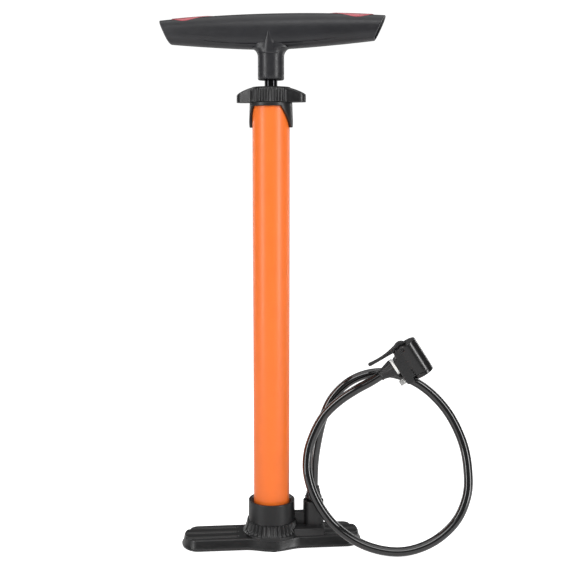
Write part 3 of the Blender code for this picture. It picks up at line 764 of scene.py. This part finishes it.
def gusset(side):
    """The pointed rib on the stem's front or back, which runs up into the bar."""
    rows = []
    for share in np.linspace(0, 1, 12):
        height = 0.514 + 0.0215 * share
        radius = STEM_R * (1 - share**1.25) + 0.0004
        front = STEM_R + 0.0018 * share
        angles = np.linspace(0, math.tau, 64, endpoint=False)
        row = []
        for angle in angles:
            across = side * (front - radius * (1 - math.sin(angle)))
            row.append((radius * math.cos(angle), across, height))
        rows.append(row)
    return to_object(f"gusset_{side}", rows_to_bmesh(rows), 50)


def pad_skin(side):
    """A leaf-shaped inlay that follows the handle's top, with a softly rounded edge."""
    rows = []
    stations = 49
    for step in range(stations):
        share_along = step / (stations - 1)
        along = PAD_FROM + (PAD_TO - PAD_FROM) * share_along
        share = side * along / HANDLE_TOP_HALF
        leaf = math.sin(math.pi * min(1.0, share_along**1.8)) ** 0.8
        spread_angle = math.radians(2 + 44 * leaf)
        outer = []
        for turn in np.linspace(-1, 1, 33):
            lift = 0.0005 * (1 - abs(turn) ** 8) * min(1.0, 6 * leaf)
            outer.append(handle_section(share, math.pi / 2 + spread_angle * turn, -0.0001 - lift))
        under = [math.pi / 2 + spread_angle * turn for turn in np.linspace(1, -1, 9)]
        inner = [handle_section(share, angle, 0.0006) for angle in under]
        rows.append(outer + inner)
    return to_object(f"pad_skin_{'left' if side < 0 else 'right'}", rows_to_bmesh(rows), 50)


def make_handle():
    yaw = Matrix.Rotation(HANDLE_YAW, 4, "Z")
    bore = disc_object("stem_bore", 0.0068, STEM_BOTTOM - 0.002, 0.5153)
    stem = stem_loft()
    combine(stem, [bore], "DIFFERENCE")
    finish_piece(move(handle_shell(), yaw), "handle_plastic", "handle", "handle_body")
    finish_piece(move(stem, yaw), "handle_plastic", "handle")
    for side in (-1, 1):
        finish_piece(move(gusset(side), yaw), "handle_plastic", "handle")
        node = "handle_pad_left" if side < 0 else "handle_pad_right"
        finish_piece(move(pad_skin(side), yaw), "red_inlay", "handle", node)


# Hose

def through(points, count):
    """Even samples of one smooth Catmull-Rom curve through the points."""
    given = [Vector(point) for point in points]
    ends = [2 * given[0] - given[1], *given, 2 * given[-1] - given[-2]]
    fine = []
    for before, start, end, after in zip(ends, ends[1:], ends[2:], ends[3:]):
        for share in np.linspace(0, 1, 12, endpoint=False):
            fine.append(
                0.5 * (
                    2 * start
                    + (end - before) * share
                    + (2 * before - 5 * start + 4 * end - after) * share**2
                    + (3 * start - before - 3 * end + after) * share**3
                )
            )
    fine = np.array([*fine, given[-1]])
    lengths = np.concatenate([[0], np.cumsum(np.linalg.norm(np.diff(fine, axis=0), axis=1))])
    even = np.linspace(0, lengths[-1], count)
    return [Vector([np.interp(place, lengths, fine[:, axis]) for axis in range(3)]) for place in even]


def head_place():
    front = HEAD_DOWN.cross(HEAD_OUT).normalized()
    out = front.cross(HEAD_DOWN)
    axes = Matrix((HEAD_DOWN, out, front)).transposed().to_4x4()
    return Matrix.Translation(HEAD_CORNER) @ axes


HEAD_PLACE = head_place()


def make_hose(with_pieces):
    route = [*HOSE_ROUTE, HEAD_PLACE @ Vector((BARB_X, BOOT_FAR - 0.012, 0))]
    route.append(HEAD_PLACE @ Vector((BARB_X, BOOT_FAR + 0.002, 0)))
    curve = bpy.data.curves.new("hose_tube", "CURVE")
    curve.dimensions = "3D"
    curve.bevel_depth = HOSE_R
    curve.bevel_resolution = 10
    curve.use_fill_caps = True
    spline = curve.splines.new("POLY")
    points = through(route, 240)
    spline.points.add(len(points) - 1)
    for made, point in zip(spline.points, points):
        made.co = (*point, 1)
    spline.use_smooth = True
    hose = bpy.data.objects.new("hose_tube", curve)
    bpy.context.scene.collection.objects.link(hose)
    finish_piece(hose, "hose_rubber", "frame", "hose")


def make_ferrule():
    """The ribbed sleeve that the hose comes out of."""
    low, high = (corner.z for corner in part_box("hose_ferrule"))
    foot = TOWER_TOP + 0.004
    corners = [(0.0034, low, 0), (0.0071, low, 0.0003), (0.0071, foot - 0.0029, 0.0006)]
    corners += [(0.0091, foot - 0.0016, 0.0008), (0.0091, foot, 0.0004)]
    ribs = 4
    for rib in range(ribs):
        step = (high - foot) / ribs
        base = foot + step * rib
        radius = 0.0088 - 0.0024 * (rib + 1) / ribs
        corners.append((radius, base + 0.15 * step, 0.0002))
        corners.append((radius, base + 0.65 * step, 0.0003))
        corners.append((radius - 0.0007, base + 0.75 * step, 0.0001))
        corners.append((radius - 0.0007, base + step, 0.0001))
    corners.append((0.0034, high, 0))
    made = move(turned("ferrule_sleeve", corners, 96, arc=3), Matrix.Translation((TOWER_X, 0, 0)))
    finish_piece(made, "charcoal_plastic", "frame", "hose_ferrule")


# Pump head. Its own frame has X down the body to the mouth, Y out of the barbed side and Z to the front.

def about_local_y(x):
    return HEAD_PLACE @ Matrix.Translation((x, 0, 0)) @ Matrix.Rotation(math.radians(-90), 4, "X")


def about_local_x(y):
    return HEAD_PLACE @ Matrix.Translation((0, y, 0)) @ Matrix.Rotation(math.radians(90), 4, "Y")


def head_block():
    outline = rounded([
        (0.0, -0.011, 0), (0.0, -0.0237, 0.002), (0.0025, -0.0274, 0.002), (0.0078, -0.028, 0.001),
        (0.0096, -0.032, 0.0006), (0.037, -0.032, 0.0006), (BLOCK_LENGTH, -0.0304, 0.0006),
        (BLOCK_LENGTH, -0.0236, 0.0003), (HEAD_LENGTH, -0.0236, 0), (HEAD_LENGTH, -0.011, 0),
    ], 5)
    edge = 0.0012
    rows = []
    for z, inset in [(-HEAD_HALF_DEPTH, edge), (-HEAD_HALF_DEPTH + 0.0003, edge * 0.35),
                     (-HEAD_HALF_DEPTH + edge, 0), (HEAD_HALF_DEPTH - edge, 0),
                     (HEAD_HALF_DEPTH - 0.0003, edge * 0.35), (HEAD_HALF_DEPTH, edge)]:
        rows.append([(x, y + (inset if y < -0.0245 else 0), z) for x, y in outline])
    return to_object("head_shell", rows_to_bmesh(rows))


def head_shell():
    """The head's body with its lever slot, bores, pivot bosses and the three windows beside the mouth."""
    body = head_block()
    cylinder = turned("cylinder", [
        (0.0004, 0.0, 0), (HEAD_CYLINDER_R, 0.0, 0.0016), (HEAD_CYLINDER_R, HEAD_LENGTH, 0.0004),
        (0.0004, HEAD_LENGTH, 0),
    ], 96)
    core = disc_object("core", 0.002, 0.0002, HEAD_LENGTH - 0.0002)
    along = Matrix.Translation((0, BORE_AXIS, 0)) @ Matrix.Rotation(math.radians(90), 4, "Y")
    pivot = Matrix.Translation((LEVER_X, LEVER_Y, 0))
    boss = disc_object("boss", 0.0042, -HEAD_HALF_DEPTH - 0.0006, HEAD_HALF_DEPTH + 0.0006)
    combine(body, [move(cylinder, along), move(core, along), move(boss, pivot)], "UNION")
    slot_half = LEVER_HALF_WIDTH + 0.0003
    beside = Matrix.Rotation(math.radians(-90), 4, "X")
    cuts = [
        move(disc_object("bore", HEAD_BORE_R, 0.0112, 0.05), along),
        move(disc_object("barb_hole", 0.0033, -0.04, -0.0165), Matrix.Translation((BARB_X, 0, 0)) @ beside),
        box_object("slot", (-0.004, -0.04, -slot_half), (0.003, LEVER_Y, slot_half)),
        move(disc_object("hub_room", LEVER_HUB_R + 0.0005, -slot_half, slot_half), pivot),
        move(disc_object("pin_hole", 0.0018, -0.02, 0.02), pivot),
    ]
    for number in range(3):
        start = 0.0252 + 0.0031 * number
        corners = ((start, -0.0211, -0.02), (start + 0.0018, -0.0193, 0.02))
        cuts.append(box_object(f"window_{number}", *corners))
    combine(body, cuts, "DIFFERENCE")
    remeshed(body, 0.0003, 4)
    return move(body, HEAD_PLACE)


def lever_shape():
    """The lever: a round hub with a thumb piece that thins and widens towards its tip."""
    rows = []
    for share in np.linspace(0, 1, 41):
        y = LEVER_Y + (LEVER_TIP_Y - LEVER_Y) * share
        half = LEVER_HALF_WIDTH + 0.0015 * max(0.0, share - 0.45)
        top = LEVER_X - 0.0079 + 0.0131 * share - 0.0101 * share**2
        low = LEVER_X - 0.0007 - 0.0017 * share
        if share > 0.97:
            half -= 0.0008
            top += 0.0004
            low -= 0.0004
        corners = [(low, -half, 0.0006), (low, half, 0.0006), (top, half, 0.001), (top, -half, 0.001)]
        section = rounded(corners, 4)
        rows.append([(x, y, z) for x, z in section])
    arm = to_object("lever_arm", rows_to_bmesh(rows), 50)
    pivot = Matrix.Translation((LEVER_X, LEVER_Y, 0))
    hub = move(disc_object("hub", LEVER_HUB_R, -LEVER_HALF_WIDTH, LEVER_HALF_WIDTH, 96), pivot)
    combine(arm, [hub], "UNION")
    combine(arm, [move(disc_object("pin_room", 0.0018, -0.02, 0.02), pivot)], "DIFFERENCE")
    remeshed(arm, 0.0003, 3)
    arm.name = "lever_thumb"
    return move(arm, HEAD_PLACE)


def boot_radius(radius, height, angle):
    """Lengthwise ribs on the boot's cone."""
    if radius < 0.0045 or height < BOOT_FAR + 0.0026:
        return radius
    return radius - 0.0005 * (0.5 - 0.5 * math.cos(18 * angle)) ** 1.5


def knurl_radius(radius, height, angle):
    if radius < 0.0025:
        return radius
    return radius - 0.00025 * (0.5 - 0.5 * math.cos(24 * angle))


def make_head_fittings():
    boot = [
        (0.00495, BOOT_FAR, 0.0002), (0.0057, BOOT_FAR, 0.0003), (0.0058, BOOT_FAR + 0.0014, 0.0005),
        (0.0054, BOOT_FAR + 0.0022, 0.0004), (0.0089, BOOT_NEAR - 0.002, 0.001), (0.0093, BOOT_NEAR, 0.0005),
        (0.0033, BOOT_NEAR, 0), (0.0033, BOOT_FAR + 0.0035, 0), (0.00495, BOOT_FAR + 0.0035, 0),
    ]
    beside = about_local_y(BARB_X)
    made = turned("boot_sleeve", boot, 216, boot_radius, arc=8)
    finish_piece(move(made, beside), "boot_rubber", "frame", "head_boot")
    # The collar ring's near-white look is a painted highlight for a bare metal nut.
    ring = [
        (0.0033, BOOT_NEAR + 0.0003, 0), (0.0089, BOOT_NEAR + 0.0003, 0.0006),
        (0.0089, COLLAR_NEAR, 0.0006), (0.0033, COLLAR_NEAR, 0),
    ]
    finish_piece(move(turned("collar_ring", ring, 96), beside), "white_plastic", "frame", "head_collar")
    plug = [
        (0.0003, -0.0385, 0), (0.003, -0.0385, 0.0004), (0.003, -0.0363, 0), (0.0026, -0.0361, 0),
        (0.0026, -0.0357, 0), (0.003, -0.0355, 0), (0.003, COLLAR_NEAR, 0.0003), (0.0015, COLLAR_NEAR, 0),
        (0.0015, -0.027, 0), (0.0003, -0.027, 0),
    ]
    made = turned("plug_knurled", plug, 192, knurl_radius)
    finish_piece(move(made, about_local_y(PLUG_X)), "zinc_steel", "frame", "head_plug")
    along = about_local_x(BORE_AXIS)
    cap = [
        (0.0055, HEAD_LENGTH + 0.0003, 0), (0.0113, HEAD_LENGTH + 0.0003, 0.0004),
        (0.0113, MOUTH_CAP_END, 0.0009), (0.0055, MOUTH_CAP_END, 0.0009),
    ]
    finish_piece(move(turned("mouth_ring", cap, 96), along), "head_gloss", "frame", "mouth_cap")
    grommet = [
        (0.0046, 0.025, 0.0004), (HEAD_BORE_R - 0.0003, 0.025, 0.0003),
        (HEAD_BORE_R - 0.0003, HEAD_LENGTH, 0.0003), (0.0046, HEAD_LENGTH, 0.0006),
    ]
    finish_piece(move(turned("grommet_ring", grommet, 72), along), "rubber_pad", "frame", "mouth_grommet")


def make_head():
    finish_piece(head_shell(), "head_gloss", "frame", "head_body")
    finish_piece(lever_shape(), "head_gloss", "lever", "head_lever")
    make_head_fittings()
    return [
        "head_shell", "boot_sleeve", "collar_ring", "plug_knurled", "mouth_ring", "grommet_ring",
        "lever_thumb", "lever_pin", "head_barb", "head_plunger",
    ]


def dress_nodes():
    """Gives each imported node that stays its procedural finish."""
    slots = {row["node"]: row["material_slot"] for row in frame["record"]["subparts"]}
    for name, made in frame["nodes"].items():
        made.data.materials.clear()
        made.data.materials.append(looks["head_gloss" if name == "lever_pin" else slots[name]])
        made.data.shade_smooth()
        made.data.set_sharp_from_angle(angle=math.radians(35))


# Stage

def make_floor():
    material = surface("floor", (0.8, 0.8, 0.8), 0.6, tone=0.01, grain=40, bump=0.02)
    shader = material.node_tree.nodes["Principled BSDF"]
    shader.inputs["Emission Color"].default_value = (1, 1, 1, 1)
    path = add_node(material.node_tree, "ShaderNodeLightPath")
    glow = spread(material.node_tree, path.outputs["Is Camera Ray"], FLOOR_BOUNCE, FLOOR_GLOW, 0, 1)
    material.node_tree.links.new(glow, shader.inputs["Emission Strength"])
    bm = bmesh.new()
    bmesh.ops.create_grid(bm, x_segments=8, y_segments=8, size=8)
    floor = to_object("floor", bm)
    floor.data.materials.append(material)


def add_light(name, azimuth, distance, height, size, radiance):
    """A soft box aimed at the pump. Azimuth is in degrees, from the camera's side round to the right."""
    turn = math.radians(azimuth) + math.atan2(CAMERA_PLACE[1], CAMERA_PLACE[0])
    place = Vector((distance * math.cos(turn), distance * math.sin(turn), height))
    data = bpy.data.lights.new(name, "AREA")
    data.shape = "RECTANGLE"
    data.size, data.size_y = size
    data.energy = radiance * math.pi * size[0] * size[1]
    made = bpy.data.objects.new(name, data)
    made.location = place
    made.rotation_mode = "QUATERNION"
    made.rotation_quaternion = (Vector((0, 0, LIGHT_AIM_Z)) - place).to_track_quat("-Z", "Y")
    bpy.context.scene.collection.objects.link(made)


def make_lights():
    for name, azimuth, distance, height, size, radiance in LIGHTS:
        add_light(name, azimuth, distance, height, size, radiance)


def make_world():
    """A white backdrop for the camera, over a dimmer room that the surfaces reflect."""
    world = bpy.data.worlds.new("studio")
    world.use_nodes = True
    tree = world.node_tree
    room = tree.nodes["Background"]
    room.inputs["Color"].default_value = (1, 1, 1, 1)
    room.inputs["Strength"].default_value = ROOM_GLOW
    backdrop = add_node(tree, "ShaderNodeBackground")
    backdrop.inputs["Strength"].default_value = 1.05
    backdrop.inputs["Color"].default_value = (1, 1, 1, 1)
    path = add_node(tree, "ShaderNodeLightPath")
    choice = add_node(tree, "ShaderNodeMixShader")
    tree.links.new(path.outputs["Is Camera Ray"], choice.inputs["Fac"])
    tree.links.new(room.outputs["Background"], choice.inputs[1])
    tree.links.new(backdrop.outputs["Background"], choice.inputs[2])
    tree.links.new(choice.outputs["Shader"], tree.nodes["World Output"].inputs["Surface"])
    bpy.context.scene.world = world


def make_camera():
    data = bpy.data.cameras.new("camera")
    data.lens = CAMERA_LENS
    data.sensor_width = 36
    camera = bpy.data.objects.new("camera", data)
    camera.location = CAMERA_PLACE
    camera.rotation_mode = "QUATERNION"
    camera.rotation_quaternion = Vector(CAMERA_AIM).to_track_quat("-Z", "Y")
    bpy.context.scene.collection.objects.link(camera)
    bpy.context.scene.camera = camera


dress_nodes()
make_foot()
make_spring()
make_barrel()
make_cap()
make_rod()
make_handle()
make_ferrule()
make_hose(make_head())
make_floor()
make_lights()
make_world()
make_camera()
bpy.context.scene.view_settings.view_transform = "Standard"
